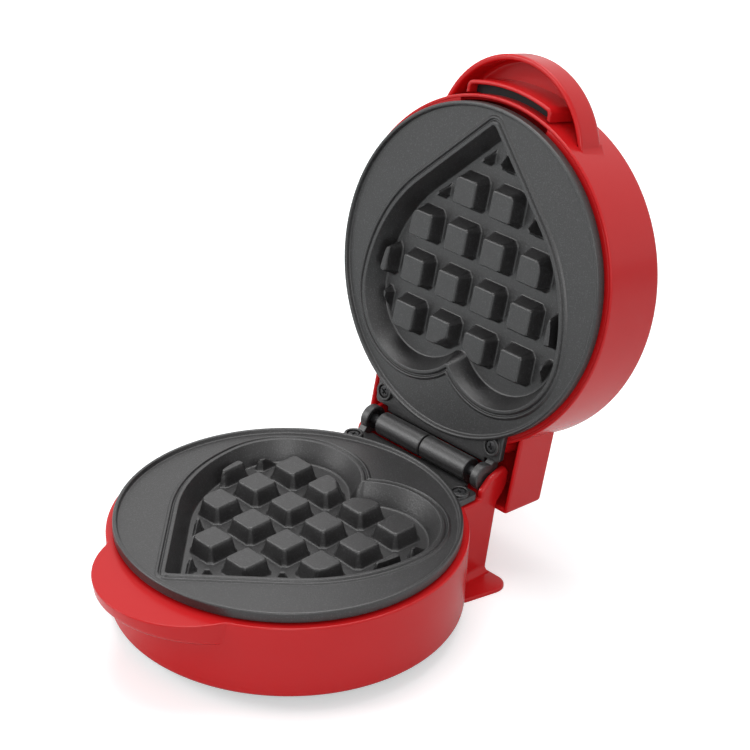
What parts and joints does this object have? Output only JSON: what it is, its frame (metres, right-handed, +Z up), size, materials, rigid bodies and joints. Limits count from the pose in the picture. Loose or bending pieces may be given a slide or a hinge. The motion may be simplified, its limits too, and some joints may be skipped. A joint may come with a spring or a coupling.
{
  "type": "heart waffle maker",
  "caption": "Round countertop waffle maker, lid open: heart-shaped grid moulds in cast plates, split-barrel hinge, front lip, dished lid handle and rear stop tower.",
  "frame": {"origin": "on the floor plane, at the middle of the opened machine's outline", "axes": "+Z up; +Y towards the hinge and the opened lid, -Y towards the front lip; +X to the right seen from the front"},
  "size_m": [0.129, 0.2066, 0.1839],
  "materials": {
    "red_plastic": "glossy moulded",
    "black_plastic": "matt moulded",
    "nonstick_casting": "dark non-stick coating, faintly speckled",
    "plated_steel": "plated sheet and screws",
    "black_steel": "blackened",
    "foot_rubber": "matt",
    "ceramic": "unglazed",
    "lamp_glass": "tinted clear",
    "glass_fibre": "woven sleeve",
    "lead_insulation": "silicone"
  },
  "bodies": {
    "base": {"base_housing": "red_plastic", "bottom_cover": "black_plastic", "bottom_cover_screws": "plated_steel", "rubber_feet": "foot_rubber", "cord_bush": "black_plastic", "terminal_block": "ceramic", "base_wiring": "lead_insulation", "hinge_pin": "black_steel", "thermostat": "ceramic", "thermostat_strap": "plated_steel", "strap_screws": "plated_steel", "fuse_sleeve": "glass_fibre", "thermal_fuse": "plated_steel", "fuse_clip": "plated_steel", "lower_cooking_plate": "nonstick_casting", "lower_plate_screws": "black_steel", "lower_heating_element": "plated_steel", "lower_element_terminals": "ceramic", "lower_heat_shield": "plated_steel", "lower_shield_screws": "plated_steel"},
    "lid": {"upper_cooking_plate": "nonstick_casting", "upper_plate_screws": "black_steel", "upper_heating_element": "plated_steel", "upper_element_terminals": "ceramic", "upper_heat_shield": "plated_steel", "upper_shield_screws": "plated_steel", "lid_housing": "red_plastic", "slot_insert": "black_plastic", "indicator_lens": "lamp_glass", "indicator_lamp": "lamp_glass", "lid_wiring": "lead_insulation"}
  },
  "joints": [
    {"name": "lid_hinge", "type": "hinge", "parent": "base", "child": "lid", "pos_m": [0, 0.04404, 0.04], "axis": [1, 0, 0], "range_deg": [0, 102.3]}
  ]
}
